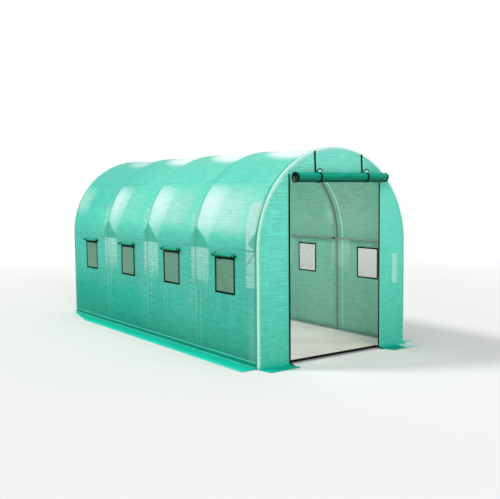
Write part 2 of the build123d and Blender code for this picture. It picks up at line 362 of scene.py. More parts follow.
class Fabric(Look):
    """A look of woven cloth. Its u and v are metres on the cloth: along it, and down from its middle."""

    def __init__(self, name, tones=0.2):
        super().__init__(name)
        self.cloth = self.node("UVMap", uv_map="cloth")
        self.u, self.v, _ = self.split(self.cloth)
        self.x, _, self.z = self.split(self.place())
        self.tone = 1.0
        for stretch, detail, share in weave_layers:
            grain = self.math("SUBTRACT", self.noise(self.cloth, stretch, detail), 0.5)
            self.tone = self.line(grain, share * tones, self.tone)
        turn = 2 * pi / thread_pitch
        across, down = [self.math("SINE", self.math("MULTIPLY", way, turn)) for way in (self.u, self.v)]
        coarse = self.math("MULTIPLY", self.noise(self.cloth, (2.5, 78.0, 1.0)), 2.0)
        self.height = self.math("ADD", self.times(across, down), coarse)

    def strengthen(self, gain):
        """Makes the thread's tone stronger or weaker."""
        self.tone = self.line(self.math("SUBTRACT", self.tone, 1.0), gain, 1.0)

    def finish(self, rough, glow, clear=None, shine=0.5, glow_colour=None):
        """Glossy film: glow is the share that light comes through, clear the share seen straight through."""
        colour = self.toned(self.colour, self.tone)
        relief = (self.height, thread_relief, 0.5)
        through = self.node("BsdfTranslucent", {"Color": glow_colour or colour, "Normal": self.bump(*relief)})
        body = self.mix_shader(glow, self.skin(colour, rough, *relief, shine), through)
        if clear is not None:
            body = self.mix_shader(clear, body, self.node("BsdfTransparent", {"Color": white_light}))
        return self.done(body)


# Cover cloth
film_rough = 0.34
cover_green = rgb(84, 228, 204)
cover_mid = rgb(62, 192, 174)
cover_shade = rgb(8, 184, 160)
cover_foot = rgb(2, 144, 124)
cover_far = rgb(30, 208, 186)
far_shade = rgb(2, 172, 146)
pale_strip_and_highlight = rgb(178, 240, 224)
highlight_white = rgb(210, 245, 237)
crown_highlight = rgb(236, 254, 250)
gusset_green = rgb(38, 180, 154)
glow_green = rgb(96, 226, 196)
glow_mid = rgb(72, 196, 172)
glow_shade = rgb(26, 172, 148)
inner_green = rgb(174, 213, 197)
seam_and_frame_shadow = rgb(36, 138, 118)
piping_pale_and_highlight = rgb(200, 251, 238)

# Marks beside a hoop, as corners: distance from the hoop toward the back, distance down from the
# ridge, and how soft the edge is that starts there
# The band is the shape of the white painted highlight beside a hoop
band_corners = [
    (-0.01, 0.834, 0.05),
    (-0.335, 0.845, 0.12),
    (-0.365, 0.96, 0.12),
    (-0.365, 1.1, 0.10),
    (-0.314, 1.225, 0.03),
    (-0.219, 1.45, 0.012),
    (-0.01, 1.285, 0.012),
]
behind_corners = [
    (0.0, 1.285, 0.012),
    (0.118, 1.35, 0.02),
    (0.145, 1.211, 0.02),
    (0.158, 1.06, 0.03),
    (0.13, 0.9, 0.2),
    (0.0, 0.9, 0.012),
]
gusset_corners = [
    (0.0, 1.287, 0.012),
    (-0.19, 1.438, 0.012),
    (-0.2, 1.468, 0.012),
    (0.092, 1.468, 0.012),
    (0.097, 1.389, 0.012),
]
below_corners = [(-0.225, 1.492, 0.014), (-0.225, 1.95, 0.16), (0.087, 1.95, 0.014), (0.087, 1.492, 0.01)]

# The same behind the front hoop, measured from the front edge of the cover
strip_corners = [
    (-0.02, 1.476, 0.01),
    (0.14, 1.476, 0.014),
    (0.186, 1.185, 0.014),
    (0.195, 1.079, 0.014),
    (0.178, 1.02, 0.09),
    (-0.02, 1.025, 0.012),
]
front_gusset_corners = [(-0.02, 1.285, 0.012), (-0.02, 1.49, 0.012), (0.124, 1.419, 0.012)]
pane_corners = [(-0.02, 1.489, 0.01), (-0.02, 1.807, 0.014), (0.149, 1.807, 0.012), (0.149, 1.489, 0.01)]


def hoop_marks(look):
    """Masks for what shows beside the hoops: pale strips, white bands where highlight is painted, and darker
    corner pieces.
    """
    u, v = look.u, look.v
    w = look.math("WRAP", u, hoop_pitch / 2, -hoop_pitch / 2)
    from_front = look.math("ADD", u, cover_end)
    middle = look.ramp(from_front, 0.40, 0.42)
    not_last = look.ramp(u, hoop_places[-1] - 0.45, hoop_places[-1] - 0.40, 1.0, 0.0)
    last = look.either(not_last, look.ramp(v, 1.27, 1.12, 0.0, 0.5))
    fringe = look.noise(look.cloth, (60.0, 1.2, 1.0), 3.0)
    ragged = look.line(fringe, 0.55, look.math("SUBTRACT", v, 0.275))
    band = look.times(look.inside(w, v, band_corners), middle, last)
    behind = look.times(look.inside(w, v, behind_corners), middle, look.ramp(v, 1.0, 1.2))
    below = look.times(look.inside(w, v, below_corners), middle, not_last, look.ramp(ragged, 1.88, 1.74))
    gusset = look.times(look.inside(w, v, gusset_corners), middle, not_last)
    strip, front_gusset, pane = [
        look.inside(from_front, v, corners) for corners in (strip_corners, front_gusset_corners, pane_corners)
    ]
    dark = look.either(gusset, front_gusset)
    clear = look.times(look.either(below, strip, pane, behind), look.math("SUBTRACT", 1.0, dark))
    marks = dict(w=w, from_front=from_front, band=band, behind=behind, below=below)
    return dict(marks, strip=strip, pane=pane, dark=dark, clear=clear)


def main_cover_look():
    """Cover cloth of the roof and walls. Here w is the distance from the nearest hoop toward the back."""
    look = Fabric("cover")
    u, v, x = look.u, look.v, look.x
    ramp, times, either, stripe, paint = look.ramp, look.times, look.either, look.stripe, look.paint
    look.strengthen(ramp(v, 1.3, 1.8, 0.9, 1.75))
    marks = hoop_marks(look)
    w, from_front, pane, strip = marks["w"], marks["from_front"], marks["pane"], marks["strip"]
    by_hoop = ramp(look.math("ABSOLUTE", w), 0.42, 0.15, 0.25, 1.0)

    # Painted shade: the green darkens down the wall, and is darker and fuller toward the back, most high on
    # the far bays
    half_down = ramp(v, 1.2, 1.55)
    low_down = ramp(v, 1.6, 2.3)
    look.colour = look.mix(low_down, look.mix(half_down, cover_green, cover_mid), cover_shade)
    paint(cover_foot, ramp(v, 2.15, 2.5, 0.0, 0.75))
    far_roof_shade = times(ramp(u, -0.2, 1.4), ramp(v, 1.3, 1.05))
    paint(look.mix(low_down, cover_far, far_shade), either(ramp(u, 0.4, 1.8, 0.0, 0.7), far_roof_shade))

    # Painted sheen of the sky's reflection below the roof's shoulder, stronger toward the front and away from
    # the hoop before it
    toward_front = look.node("Math", {0: u, 1: -0.26, 2: 0.40}, operation="MULTIPLY_ADD", use_clamp=True)
    toward_front = look.math("MINIMUM", toward_front, 0.72)
    behind_hoop = look.math("WRAP", u, hoop_pitch, 0.0)
    from_hoop = ramp(look.line(u, -0.06, behind_hoop), 0.03, 0.6)
    low_edge = ramp(look.line(u, 0.03, v), 1.36, 1.18)
    paint(highlight_white, ramp(v, 0.74, 1.06), low_edge, toward_front, from_hoop)

    # Pale streaks low on the wall, and painted highlights on the folds of the roof by the hoops
    streak = ramp(look.noise(look.cloth, (95.0, 3.2, 1.0), 3.0), 0.55, 0.75)
    low_streaks = times(streak, ramp(v, 1.70, 1.80), ramp(v, 2.3, 1.9, 0.0, 0.46))
    fold_highlight = ramp(look.noise(look.cloth, (44.0, 0.8, 1.0)), 0.56, 0.70, 0.0, 0.42)
    folds = times(fold_highlight, ramp(v, 0.42, 0.6), ramp(v, 1.42, 1.25), by_hoop)
    paint(pale_strip_and_highlight, either(low_streaks, folds))

    # Pale strips, white bands of painted highlight, and dark corner pieces beside the hoops; the strip behind
    # the front hoop also gets painted highlight
    paint(pale_strip_and_highlight, marks["below"], ramp(v, 1.5, 1.8, 0.78, 0.6))
    paint(pale_strip_and_highlight, pane, ramp(v, 1.5, 1.8, 0.74, 0.72))
    by_front = ramp(u, 0.16 - cover_end, 0.06 - cover_end)
    paint(pale_strip_and_highlight, by_front, ramp(v, 1.8, 1.83), ramp(v, 1.85, 2.3, 0.07, 0.18))
    paint(pale_strip_and_highlight, marks["behind"], 0.5)
    paint(highlight_white, strip, ramp(v, 1.45, 1.05, 0.62, 0.82))
    bright = times(ramp(v, 0.83, 1.02, 0.45, 1.0), ramp(v, 1.42, 1.04, 0.3, 1.0))
    lit = ramp(look.noise(look.cloth, (34.0, 1.1, 1.0), 3.0), 0.3, 0.6, 0.72, 1.0)
    band = times(marks["band"], bright, ramp(w, -0.36, -0.12, 0.5, 0.95), lit)
    paint(highlight_white, band)
    paint(gusset_green, marks["dark"], 0.85)

    # Painted highlight: white light on the crown of each bay
    edge = look.line(look.math("MULTIPLY", behind_hoop, behind_hoop), 0.35, v)
    along = times(ramp(edge, 0.52, 0.37), ramp(behind_hoop, 0.98, 0.6, 0.2, 0.9))
    crown = times(along, ramp(x, 0.4, 0.05), ramp(u, 1.3, 0.2, 0.5, 1.0))
    paint(crown_highlight, crown)

    # Dark lines: the seam, and painted shadows of the rail, hoops and brace that show through the cloth
    above_foot = ramp(v, 1.95, 1.8)
    seam = times(stripe(v, 0.792, 0.005), 0.3)
    rail = times(stripe(v, 1.479, 0.007), by_hoop, 0.45)
    tube = times(stripe(w, 0.0, 0.009), ramp(v, 1.24, 1.34, 0.15, 0.55), above_foot)
    by_arch = times(stripe(w, 0.034, 0.006), ramp(v, 0.5, 0.7), ramp(v, 1.3, 1.1), 0.3)
    end_tube = times(stripe(from_front, 0.006, 0.008), 0.25)
    brace = stripe(look.line(from_front, -0.85, v), 1.492, 0.009, 0.006)
    brace = times(brace, pane, ramp(x, 0.1, -0.1), 0.75)
    paint(seam_and_frame_shadow, either(seam, rail, tube, by_arch, end_tube, brace))

    # Light lines along the hoops: painted highlights beside the arches on the roof, and pale lines at the foot
    arch_highlight = times(stripe(w, 0.05, 0.005), ramp(v, 0.55, 0.75), ramp(v, 1.3, 1.1), 0.35)
    foot_lines = either(stripe(w, 0.0, 0.011), times(stripe(w, -0.075, 0.008), 0.6))
    past_foot = look.math("SUBTRACT", 1.0, above_foot)
    paint(pale_strip_and_highlight, either(times(foot_lines, past_foot, ramp(v, 2.5, 1.95, 0.1, 0.32)), arch_highlight))

    # Less light comes through where the white highlights are painted, the light through darkens down the wall
    # with the painted shade, and the far foot is duller
    white = either(crown, times(band, 0.8), times(strip, 0.3))
    far_foot = times(ramp(v, 1.7, 2.15), ramp(u, -1.0, 0.6))
    glow = look.toned(look.mix(low_down, look.mix(half_down, glow_green, glow_mid), glow_shade), look.tone)
    clear = look.line(marks["clear"], 0.18, 0.04)
    return look.finish(film_rough, look.line(white, -0.26, 0.3), clear, look.line(far_foot, -0.42, 0.5), glow)


def oblong(w0, w1, v0, v1, soft):
    """Corners of an oblong with equally soft edges."""
    return [(w0, v0, soft), (w0, v1, soft), (w1, v1, soft), (w1, v0, soft)]


# Shades of the end sheets as (distance down the cloth, colour), and patches as (corners, share, colour)
end_shades = [
    (0.15, rgb(132, 244, 224)),
    (0.32, rgb(114, 234, 212)),
    (0.9, rgb(104, 230, 208)),
    (1.95, rgb(70, 208, 182)),
    (2.0, rgb(14, 205, 178)),
]
# A painted highlight down the right panel's edge beside the doorway's binding
edge_highlight_patch = [(0.558, 0.3, 0.01), (0.558, 1.97, 0.02), (0.588, 1.97, 0.02), (0.588, 0.3, 0.02)]
# A painted sunlit reflection on the right front flap's outer corner
corner_sheen_patch = [(0.84, 2.0, 0.03), (0.80, 2.3, 0.03), (1.2, 2.3, 0.03), (1.2, 2.0, 0.03)]
front_patches = [
    (oblong(0.757, 0.826, 1.048, 1.353, 0.008), 0.6, rgb(196, 250, 232)),
    (edge_highlight_patch, 0.6, rgb(176, 252, 236)),
    (oblong(0.42, 0.95, 0.1, 0.42, 0.16), 0.6, rgb(70, 210, 183)),
    (oblong(0.50, 0.80, 1.985, 2.3, 0.03), 0.92, rgb(0, 184, 162)),
    (corner_sheen_patch, 0.85, rgb(214, 254, 250)),
]
# A painted sunlit reflection on the back flap's left tip
back_patches = [(oblong(-1.2, -0.86, 1.99, 2.4, 0.03), 0.9, rgb(236, 252, 250))]


def end_cover_look(name, glow, patches, left_tone, right_tone, rim_share):
    """Cover cloth of an end, with a pale rim down the left of the arch."""
    look = Fabric(name, 0.25)
    u, v = look.u, look.v
    look.strengthen(look.ramp(u, -0.7, 0.1, left_tone, right_tone))
    look.colour = end_shades[0][1]
    for (start, _), (end, after) in zip(end_shades, end_shades[1:]):
        look.paint(after, look.ramp(v, start, end))
    for corners, share, patch_colour in patches:
        look.paint(patch_colour, look.inside(u, v, corners), share)
    above = look.math("MINIMUM", look.math("SUBTRACT", v, cloth_top - spring), 0.0)
    reach = look.math("SQRT", look.line(u, u, look.math("MULTIPLY", above, above)))
    rim = look.ramp(reach, panel_r - 0.013, panel_r - 0.009)
    look.paint(piping_pale_and_highlight, rim, look.ramp(v, 2.0, 1.96), look.ramp(u, 0.25, -0.15, 0.0, rim_share))
    return look.finish(film_rough, glow, 0.05, look.ramp(v, 1.94, 2.0, 0.5, 0.1))


def skirt_look():
    """Cloth of the side flaps: a darker band up the wall, light seams, and painted sunlit reflection on the
    right flap's front tip and on the back ends.
    """
    look = Fabric("skirt_cover")
    u, v, ramp, paint = look.u, look.v, look.ramp, look.paint
    look.colour = look.mix(ramp(v, 0.045, 0.052), rgb(4, 150, 126), rgb(10, 184, 156))
    flap = look.mix(ramp(v, 0.10, 0.22), rgb(26, 206, 178), rgb(58, 236, 208))
    paint(flap, ramp(v, 0.062, 0.078))
    for middle, share in ((0.003, 0.55), (0.048, 0.6)):
        paint(rgb(150, 246, 224), look.stripe(v, middle, 0.003), share)
    # Painted sunlit reflection on the right flap's front tip, and on the flaps' back ends
    on_right = ramp(look.x, 0.0, 0.2, 0.0, 0.6)
    paint(rgb(190, 244, 240), on_right, ramp(u, -1.75, -1.95), ramp(v, 0.09, 0.13))
    paint(rgb(240, 252, 252), ramp(look.line(v, 4.2, u), 2.28, 2.33, 0.0, 0.92))
    return look.finish(0.5, 0.12, shine=0.06)


def inner_look(name, marked):
    """The inside of the cover: duller than the outside, and lit by what shines through it."""
    look = Fabric(name, 0.24)
    v, ramp, stripe, paint = look.v, look.ramp, look.stripe, look.paint
    cloud = look.noise(look.cloth, (2.2, 3.0, 1.0), 4.0, 0.6)
    look.colour = look.mix(ramp(cloud, 0.35, 0.7), inner_green, rgb(160, 202, 186))
    clear = 0.2
    if marked:
        marks = hoop_marks(look)
        w = marks["w"]
        # Painted shadow of each hoop on the cloth beside it
        paint(rgb(78, 112, 100), stripe(w, 0.0, 0.022, 0.016), 0.55)
        paint(rgb(190, 226, 204), ramp(v, 1.15, 1.36), ramp(v, 1.48, 1.42), ramp(cloud, 0.4, 0.6), 0.5)
        paint(rgb(168, 228, 208), ramp(v, 1.46, 1.5, 0.0, 0.6))
        paint(rgb(222, 255, 242), stripe(w, -0.1, 0.012, 0.008), ramp(v, 1.45, 1.9, 0.95, 0.4))
        clear = look.line(marks["clear"], ramp(look.x, 0.1, -0.1, 0.1, 0.5), clear)
    colour = look.toned(look.colour, look.tone)
    skin = look.skin(colour, 0.55, look.height, thread_relief, 0.4)
    body = look.mix_shader(0.3, skin, look.node("BsdfTranslucent", {"Color": colour}))
    return look.done(look.mix_shader(clear, body, look.node("BsdfTransparent", {"Color": white_light})))


def rolled_look(name, length, middle_z, radius, shades, dark_end, first_turn):
    """A roll of cover cloth, with painted shade darker down the roll and at its ends, and a painted lit patch
    low in its hollow. Shades are its top, middle and foot, its end, and its hollow.
    """
    look = Fabric(name, 0.3)
    top, middle, foot, end, hollow = shades
    drop = look.math("DIVIDE", look.math("SUBTRACT", middle_z + radius, look.z), 2 * radius)
    look.colour = look.mix(look.ramp(drop, 0.1, 0.55), top, middle)
    look.paint(foot, look.ramp(drop, 0.5, 0.95))
    along = look.math("ABSOLUTE", look.u)
    look.paint(end, look.ramp(along, length / 2 - dark_end, length / 2 - dark_end / 2, 0.0, 0.92))
    inner = look.mix(look.ramp(drop, 0.3, 0.6), end, hollow)
    look.paint(inner, look.ramp(look.v, first_turn, 0.9 * first_turn))
    colour = look.toned(look.colour, look.tone)
    return look.done(look.skin(colour, 0.5, look.height, thread_relief, 0.5, 0.1))


def piping_look():
    """Pale sleeve cloth with a painted highlight along its crest, and painted shade on its far side."""
    look = Fabric("piping", 0.06)
    twist = look.either(look.ramp(look.z, 1.25, 1.9), look.ramp(look.x, -0.2, 0.5))
    around = look.line(twist, -0.9 * sleeve_r, look.v)
    behind = look.ramp(around, 3.75 * sleeve_r, 4.0 * sleeve_r)
    look.colour = look.mix(behind, rgb(120, 228, 204), rgb(52, 158, 136))
    look.paint(piping_pale_and_highlight, look.stripe(around, 2.85 * sleeve_r, 0.0155, 0.01))
    return look.finish(0.4, 0.12)


def tape_look(name, colour, worn_colour, rough=0.8):
    """Woven tape: fine grain, and a little wear."""
    look = Look(name)
    grain = look.grain(260.0)
    wear = look.grain(9.0, 4.0)
    worn = look.mix(look.ramp(wear, 0.55, 0.8, 0.0, 0.35), colour, worn_colour)
    colour = look.toned(worn, look.line(grain, 0.5, 0.75))
    return look.done(look.skin(colour, rough, grain, 0.0004, 0.6, 0.05))


def steel_look():
    """Galvanised tube: fine scratches along it, cloudy wear, and painted shade toward its outline."""
    look = Look("steel")
    scratch = look.noise(look.place(), (70.0, 70.0, 8.0), 4.0)
    cloud = look.grain(6.0)
    look.colour = look.mix(scratch, rgb(150, 156, 156), rgb(196, 200, 200))
    look.paint(rgb(120, 126, 128), look.ramp(cloud, 0.5, 0.75, 0.0, 0.5))
    facing = look.node("LayerWeight", {"Blend": 0.5}, output=1)
    look.paint(rgb(48, 66, 60), look.ramp(facing, 0.35, 0.8, 0.0, 0.8))
    rough = look.ramp(cloud, 0.3, 0.7, 0.35, 0.55)
    return look.done(look.skin(look.colour, rough, scratch, 0.0002, 0.4, metal=0.35))


def plastic_look(name, colour, rough=0.4):
    """Moulded plastic with fine grain and uneven gloss."""
    look = Look(name)
    grain = look.grain(420.0, 3.0)
    cloud = look.grain(14.0)
    colour = look.toned(colour, look.line(cloud, 0.2, 0.9))
    rough = look.ramp(cloud, 0.3, 0.7, rough - 0.05, rough + 0.1)
    return look.done(look.skin(colour, rough, grain, 0.0002, 0.5))


def rubber_look():
    """Dark rubber strip with a paler edge along the ground."""
    look = Look("threshold_rubber")
    grain = look.grain(300.0, 3.0)
    _, _, z = look.split(look.place())
    colour = look.mix(look.ramp(z, 0.010, 0.006, 0.0, 0.8), rgb(6, 12, 10), rgb(170, 182, 176))
    colour = look.toned(colour, look.line(grain, 0.4, 0.8))
    return look.done(look.skin(colour, 0.8, grain, 0.0002, 0.5, 0.1))


def floor_look():
    """Pale laid floor board with faint cloudy wear."""
    look = Look("floor_board")
    cloud = look.grain(1.6, 5.0, 0.6)
    grain = look.grain(90.0, 3.0)
    colour = look.mix(look.ramp(cloud, 0.35, 0.7), rgb(244, 226, 222), rgb(226, 210, 207))
    colour = look.toned(colour, look.line(grain, 0.08, 0.96))
    return look.done(look.skin(colour, 0.62, grain, 0.0003, 0.3))


# Shades of the rolls, as painted shade: top, middle and foot, end, and hollow
roll_shades = (rgb(0, 166, 138), rgb(0, 132, 104), rgb(0, 64, 48), rgb(3, 24, 20), rgb(104, 140, 112))
flap_dark = rgb(3, 30, 24)
blind_shades = (rgb(20, 178, 138), rgb(10, 132, 98), rgb(4, 78, 56), flap_dark, flap_dark)

cover_skin = main_cover_look()
inner_skin = inner_look("cover_inside", True)
end_inner_skin = inner_look("end_inside", False)
front_skin = end_cover_look("front_cover", 0.22, front_patches, 1.1, 0.68, 0.8)
back_skin = end_cover_look("back_cover", 0.3, back_patches, 1.0, 1.0, 0.0)
skirt_skin = skirt_look()
roll_skin = rolled_look("roll_cover", roll_length, roll_z, roll_r, roll_shades, 0.026, roll_turn)
blind_skin = rolled_look("flap_roll_cover", blind_length, blind_z, blind_r, blind_shades, 0.014, 0.01)
binding_skin = tape_look("dark_binding", rgb(2, 26, 20), rgb(18, 62, 50))
piping_skin = piping_look()
steel_skin = steel_look()
clamp_skin = plastic_look("clamp_plastic", rgb(60, 64, 66))
toggle_skin = plastic_look("toggle_plastic", rgb(186, 240, 226), 0.35)
rubber_skin = rubber_look()
net_skin = tape_look("window_net", rgb(120, 152, 132), rgb(150, 178, 160), 0.6)
floor_skin = floor_look()


class Form:
    """The points and faces of a piece, gathered from grids."""

    def __init__(self):
        self.points = []
        self.faces = []
        self.cloth = []
        self.count = 0

    def grid(self, points, cloth, keep=None, wrap=False, flip=False):
        """Adds quads over a grid of points, row by row. Wrap joins the last column to the first."""
        rows, columns = points.shape[:2]
        index = np.arange(rows * columns).reshape(rows, columns) + self.count
        if wrap:
            index = np.concatenate([index, index[:, :1]], axis=1)
        quads = np.stack([index[:-1, :-1], index[:-1, 1:], index[1:, 1:], index[1:, :-1]], axis=-1)
        if flip:
            quads = quads[..., ::-1]
        if keep is not None:
            quads = quads[keep]
        self.faces += quads.reshape(-1, 4).tolist()
        self.points.append(points.reshape(-1, 3))
        self.cloth.append(np.asarray(cloth, float).reshape(-1, 2))
        self.count += rows * columns

    def cap(self, first, count, flip=False):
        """Closes a ring of points, given the number of its first one."""
        ring = list(range(first, first + count))
        self.faces.append(ring[::-1] if flip else ring)

    def sweep(self, path, side, section, closed=False):
        """Carries a closed section, as (sideways, outward) offsets, along a path."""
        path = np.asarray(path, float)
        section = np.asarray(section, float)
        if closed:
            tangent = np.roll(path, -1, axis=0) - np.roll(path, 1, axis=0)
        else:
            tangent = np.gradient(path, axis=0)
        tangent /= np.linalg.norm(tangent, axis=1)[:, None]
        side = np.broadcast_to(np.asarray(side, float), path.shape)
        side = side - (side * tangent).sum(axis=1)[:, None] * tangent
        side /= np.linalg.norm(side, axis=1)[:, None]
        out = np.cross(side, tangent)
        rings = path[:, None] + section[None, :, :1] * side[:, None] + section[None, :, 1:] * out[:, None]
        cloth = joined(*np.meshgrid(lengths_along(path), lengths_along(section), indexing="ij"))
        if closed:
            rings = np.concatenate([rings, rings[:1]])
            cloth = np.concatenate([cloth, 2 * cloth[-1:] - cloth[-2:-1]])
        first = self.count
        self.grid(rings, cloth, wrap=True, flip=True)
        if not closed:
            self.cap(first, len(section))
            self.cap(self.count - len(section), len(section), flip=True)

    def piece(self, name, skin, slot, smooth=True, weld=0.0, thickness=0.0, lining=None):
        """Makes the object, rides it on the frame's body and gives it its material."""
        mesh = bpy.data.meshes.new(name)
        mesh.from_pydata(np.concatenate(self.points).tolist(), [], self.faces)
        layer = mesh.uv_layers.new(name="cloth")
        corners = np.empty(len(mesh.loops), int)
        mesh.loops.foreach_get("vertex_index", corners)
        layer.data.foreach_set("uv", np.concatenate(self.cloth)[corners].astype(np.float32).ravel())
        if weld:
            welded = bmesh.new()
            welded.from_mesh(mesh)
            bmesh.ops.remove_doubles(welded, verts=welded.verts, dist=weld)
            welded.to_mesh(mesh)
            welded.free()
        mesh.validate()
        mesh.polygons.foreach_set("use_smooth", [smooth] * len(mesh.polygons))
        mesh.materials.append(skin)
        made = bpy.data.objects.new(name, mesh)
        bpy.context.scene.collection.objects.link(made)
        if thickness:
            shell = made.modifiers.new("thickness", "SOLIDIFY")
            shell.thickness = thickness
            shell.offset = -1
            if lining:
                mesh.materials.append(lining)
                shell.material_offset = 1
        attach(made, "root")
        return made


def joined(*parts):
    """Grids of numbers put together as points."""
    return np.stack(parts, axis=-1)


def circle(count):
    """The cosines and sines of so many even turns round a circle."""
    turns = 2 * pi * np.arange(count) / count
    return np.cos(turns), np.sin(turns)


def lengths_along(line):
    """How far along a line each of its points is."""
    return np.concatenate([[0], np.cumsum(np.linalg.norm(np.diff(line, axis=0), axis=1))])


def lines_between(stops, step):
    """Grid lines that take in every stop, and are no further apart than the step."""
    lines = [stops[0]]
    for start, end in zip(stops, stops[1:]):
        count = max(1, ceil((end - start) / step))
        lines += [start + (end - start) * k / count for k in range(1, count + 1)]
    return np.array(lines)


def round_section(radius, sides):
    across, up = circle(sides)
    return joined(radius * across, radius * up)


def strap_section(width, thickness):
    """A flat strap with softened edges."""
    w, t, soft = width / 2, thickness / 2, thickness / 4
    corners = [(w, t - soft), (w - soft, t), (soft - w, t), (-w, t - soft)]
    return corners + [(-a, -b) for a, b in corners]


def ripples(u, v, turns_u, turns_v, seed):
    """Smooth noise from -1 to 1 over the cloth, with so many turns a metre each way."""
    flat = zip(u.ravel(), v.ravel())
    values = [noise.noise(Vector((a * turns_u, b * turns_v, seed))) for a, b in flat]
    return np.array(values).reshape(u.shape)


def wall_v(z):
    """The cloth's distance down from the ridge at this height on a wall."""
    return spring_v + spring - z


def cover_lift(y, v):
    """How far the cover stands out from its round of the hoops: it hangs in between them."""
    share = np.interp(y, bay_ends, range(len(bay_ends))) % 1
    hang = 4 * share * (1 - share)
    low = np.clip((np.abs(v) - spring_v - spring + foot_fade + skirt_high.z) / foot_fade, 0, 1)
    depth = sag + (foot_sag - sag) * (low * low * (3 - 2 * low))
    folds = 0.9 * ripples(y, v, *broad_folds) + 0.5 * ripples(y, v, *narrow_folds)
    return -depth * hang + slack * np.sqrt(hang) * (folds - 0.3)


def main_cover():
    """Roof and walls in one sheet over the hoops, with the window holes."""
    hole_top = wall_v(window_top - binding_width + window_lap)
    hole_foot = wall_v(window_sill + binding_width - window_lap)
    along = [-cover_end - sheet_lap]
    for place, bay_end in zip(window_places, bay_ends[1:]):
        along += [place - hole_half, place + hole_half]
        if bay_end < cover_end:
            along += [bay_end + k * crease for k in (-6, -1, 0, 1, 6)]
    along.append(cover_end + sheet_lap)
    half_lines = lines_between([0.0, spring_v, hole_top, hole_foot, foot_v], grid_step)
    v_lines = np.concatenate([-half_lines[:0:-1], half_lines])
    v, y = np.meshgrid(v_lines, lines_between(along, grid_step), indexing="ij")
    middle_v = np.abs(v[:-1, :-1] + v[1:, 1:]) / 2
    middle_y = (y[:-1, :-1] + y[1:, 1:]) / 2
    keep = np.ones(middle_v.shape, bool)
    for place in window_places:
        keep &= ~((np.abs(middle_y - place) < hole_half) & (middle_v > hole_top) & (middle_v < hole_foot))
    arch = np.clip(v / cover_r, -pi / 2, pi / 2)
    fall = np.maximum(np.abs(v) - spring_v, 0)
    radius = cover_r + cover_lift(y, v)
    points = joined(radius * np.sin(arch), y, spring + radius * np.cos(arch) - fall)
    form = Form()
    form.grid(points, joined(y, np.abs(v)), keep, flip=True)
    cover = form.piece("cover_sheet", cover_skin, "woven_cover", thickness=sheet_thickness, lining=inner_skin)
    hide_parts(*[f"roof_bay_{n}" for n in range(1, 5)], "left_wall", "right_wall")


def panel_edge(z):
    """Half the width of an end sheet at this height."""
    over = np.clip(z - spring, 0, panel_r)
    return np.sqrt(panel_r**2 - over**2)


def fall_line(top):
    """A line down an end sheet, round its foot and out over the ground: (reach out, height, length)."""
    line = [(0.0, z) for z in lines_between([foot_bend + flap_low, top], panel_grid)[::-1]]
    for step in range(1, bend_steps + 1):
        turn = pi / 2 * step / bend_steps
        line.append((foot_bend * (1 - cos(turn)), flap_low + foot_bend * (1 - sin(turn))))
    out = flap_reach - foot_bend
    line += [(foot_bend + out * step / bend_steps, flap_low) for step in range(1, bend_steps + 1)]
    line = np.array(line)
    return line[:, 0], line[:, 1], lengths_along(line)


def flap_share(out):
    """How far out over an end's flap a point is: 0 at the foot of the sheet, 1 at the flap's edge."""
    return np.clip((out - tuck) / (flap_reach - tuck), 0, 1)


def outer_side(edge, tip, out):
    """Half the width of an end sheet: its edge above, and past the sleeve the flap out to its tip."""
    past_sleeve = np.clip(out / tuck, 0, 1)
    return edge * (1 - past_sleeve) + (flap_root + (tip - flap_root) * flap_share(out)) * past_sleeve


def flap_height(z, place, out, share, reach, folds):
    """Heights on a flap: it lifts a little toward its edge, and the hem is thicker."""
    lift = flap_lift * share * (0.5 + ripples(place, out, *folds))
    hem = hem_rise * (reach - out < hem_width)
    return z + lift + hem


def front_panel(side):
    """Points of the front sheet beside the doorway, with its flap."""
    reach, height, length = fall_line(door_top)
    share, row = np.meshgrid(np.linspace(0, 1, panel_columns), np.arange(len(reach)))
    out, z = reach[row], height[row]
    gone = flap_share(out)
    inner_tip, outer_tip = front_tips[side]
    inner = door_half + (inner_tip - door_half) * gone
    x = side * (inner + share * (outer_side(panel_edge(z), outer_tip, out) - inner))
    free = np.minimum(1, 4 * share * (1 - share)) * np.clip((door_top - z) / slack_fade, 0, 1)
    bulge = panel_slack * free * (ripples(x, z, 3.1, 1.3, 5.5 + side) - 0.2) * (out < tuck)
    z = flap_height(z, x, out, gone, flap_reach, (7.0, 3.0, 8.1 + side))
    return joined(x, panel_y - (out + bulge), z), joined(x, cloth_top - door_top + length[row])


def head_columns():
    """Grid lines across the sheet over the doorway, that meet the panels' own lines."""
    outer = float(panel_edge(door_top))
    side = door_half + np.linspace(0, 1, panel_columns) * (outer - door_half)
    middle = lines_between([-door_half, door_half], panel_grid)
    return np.concatenate([-side[::-1], middle[1:-1], side])


def over_points(columns, low, facing, face_y, rows):
    """The round top of an end sheet, from a level line up to the arch."""
    share, x = np.meshgrid(np.linspace(0, 1, rows), columns, indexing="ij")
    top = spring + np.sqrt(np.maximum(panel_r**2 - x**2, 0))
    z = low + share * np.maximum(top - low, 0)
    bulge = panel_slack * (4 * share * (1 - share)) * (ripples(x, z, 3.1, 2.3, 6.5) - 0.2)
    return joined(x, face_y + facing * bulge, z), joined(x, cloth_top - z)


def end_piece(form, name, skin):
    """An end sheet made of its panels, and the area of its arch and flap together."""
    made = form.piece(
        name, skin, "woven_cover", weld=weld_reach, thickness=sheet_thickness, lining=end_inner_skin
    )
    return made, pi / 2 * panel_r**2 + 2 * panel_r * (end_length - panel_r)


